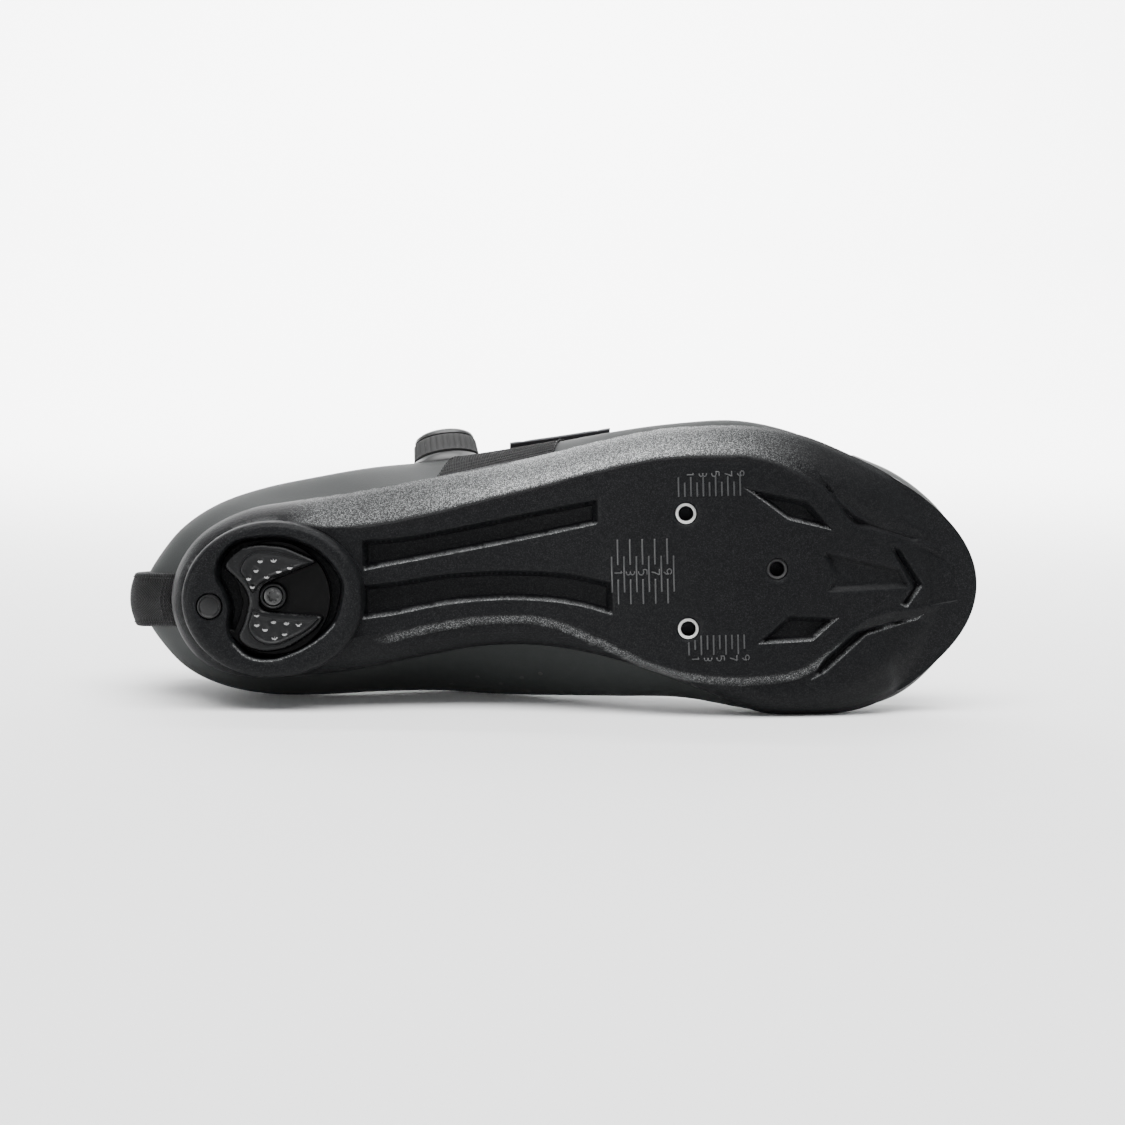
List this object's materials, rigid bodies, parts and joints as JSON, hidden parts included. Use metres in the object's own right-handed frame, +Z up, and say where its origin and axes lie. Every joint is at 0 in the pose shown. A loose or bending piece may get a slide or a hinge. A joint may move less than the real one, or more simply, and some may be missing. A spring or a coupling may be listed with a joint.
{
  "type": "cycling shoe",
  "caption": "Low-cut road cycling shoe for the right foot, lying on its inner side, with a stiff cup sole, cleat inserts, a heel pad, straps and a dial closure.",
  "frame": {"origin": "centre of the bounding box in X and Y, on the floor the shoe lies on", "axes": "+X from heel to toe, +Z up from the floor to the shoe's outer side, +Y from the sole's underside to the collar"},
  "size_m": [0.2858, 0.122, 0.0966],
  "materials": {
    "composite": "satin black composite",
    "rubber": "matt black",
    "screw_steel": "blackened",
    "insert_steel": "turned",
    "microfibre": "matt anthracite",
    "toe_film": "satin anthracite",
    "insole_foam": "knit face",
    "tongue_fabric": "padded",
    "strap_microfibre": "matt",
    "strap_fabric": "padded",
    "dial_plastic": "satin",
    "dial_rubber": "knurled",
    "cable_steel": "coated",
    "webbing": "woven"
  },
  "bodies": {
    "root": {"outsole": "composite", "heel_pad": "rubber", "heel_pad_screw": "screw_steel", "heel_plug": "rubber", "cleat_nut_outer_rear": "insert_steel", "cleat_nut_inner_rear": "insert_steel", "cleat_nut_front": "insert_steel", "upper": "microfibre", "toe_cap": "toe_film", "insole": "insole_foam", "tongue": "tongue_fabric", "forefoot_strap": "strap_microfibre", "instep_strap": "strap_fabric", "dial_base": "dial_plastic", "dial_knob": "dial_rubber", "dial_cap": "dial_plastic", "closure_cable": "cable_steel", "heel_loop": "webbing"}
  },
  "joints": []
}
